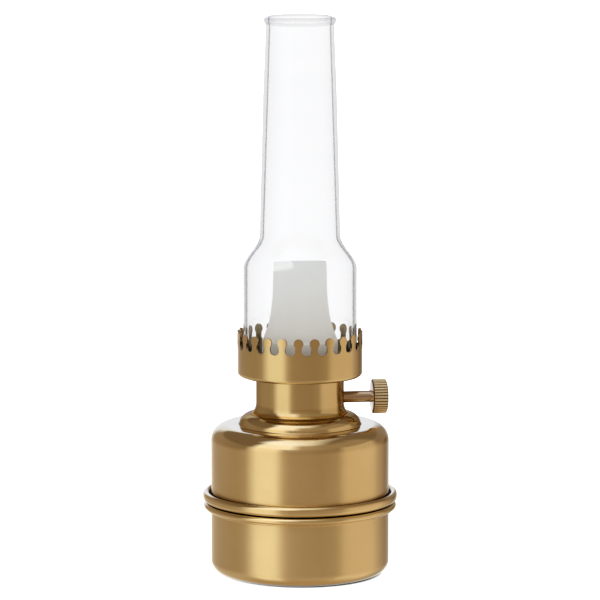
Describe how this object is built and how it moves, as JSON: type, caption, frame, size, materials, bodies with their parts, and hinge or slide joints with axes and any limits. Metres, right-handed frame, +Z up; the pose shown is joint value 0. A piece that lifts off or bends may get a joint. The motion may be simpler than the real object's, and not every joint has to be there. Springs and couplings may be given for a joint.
{
  "type": "oil lamp",
  "caption": "Table lamp in oil-lamp shape: brass font and base cup, crown gallery, tall clear glass chimney, frosted flame with LED light, side knob.",
  "frame": {"origin": "centre of the foot, on the surface that the lamp stands on", "axes": "+Z up along the lamp's axis, +X towards the knob, -Y the front, from which the knob is on the right"},
  "size_m": [0.0872, 0.0872, 0.25],
  "materials": {
    "brass": "satin brass, brushed round the axis",
    "bright_brass": "turned brass, semi-bright",
    "clear_glass": "clear, glossy",
    "frosted": "frosted, translucent white",
    "steel": "zinc-plated sheet and screws",
    "white_plastic": "moulded, matte",
    "white_board": "white solder mask",
    "phosphor": "yellow phosphor gel",
    "black_plastic": "moulded, fine texture",
    "felt": "dark felt",
    "green_board": "green solder mask",
    "cell_wrap": "printed wrap with a bare end, no text",
    "red_lead": "soft insulation",
    "black_lead": "soft insulation"
  },
  "bodies": {
    "base": {"base_cup": "brass", "foot_pad": "felt"},
    "lamp_body": {"font_shell": "brass", "neck_collar": "brass", "neck_tube": "brass", "neck_ring_nut": "steel", "crown_gallery": "brass", "lamp_holder": "white_plastic", "light_board": "white_board", "led_chip": "phosphor", "flame_diffuser": "frosted", "holder_screw_1": "steel", "holder_screw_2": "steel", "holder_screw_3": "steel", "dimmer_bracket": "steel", "dimmer_housing": "steel", "dimmer_back": "black_plastic", "dimmer_nut": "steel", "battery_chassis": "black_plastic", "battery_tray": "black_plastic", "control_board": "green_board", "chassis_boss_1": "bright_brass", "chassis_boss_2": "bright_brass", "chassis_screw_1": "steel", "chassis_screw_2": "steel", "cell_1": "cell_wrap", "cell_2": "cell_wrap", "cell_3": "cell_wrap", "plate_contact_1": "steel", "plate_contact_2": "steel", "plate_contact_3": "steel", "spring_contact_1": "steel", "spring_contact_2": "steel", "spring_contact_3": "steel", "battery_lead_plus": "red_lead", "battery_lead_minus": "black_lead", "dimmer_lead_1": "red_lead", "dimmer_lead_2": "black_lead", "light_lead_plus": "red_lead", "light_lead_minus": "black_lead"},
    "chimney": {"glass_chimney": "clear_glass"},
    "control": {"knob": "bright_brass", "spindle": "bright_brass", "dimmer_rotor": "black_plastic"}
  },
  "joints": [
    {"name": "body_lift", "type": "slide", "parent": "base", "child": "lamp_body", "axis": [0, 0, 1], "range_m": [0, 0.045]},
    {"name": "chimney_lift", "type": "slide", "parent": "lamp_body", "child": "chimney", "axis": [0, 0, 1], "range_m": [0, 0.06]},
    {"name": "knob_turn", "type": "hinge", "parent": "lamp_body", "child": "control", "pos_m": [0.0358, 0, 0.0791], "axis": [1, 0, 0], "range_deg": [0, 300]}
  ]
}
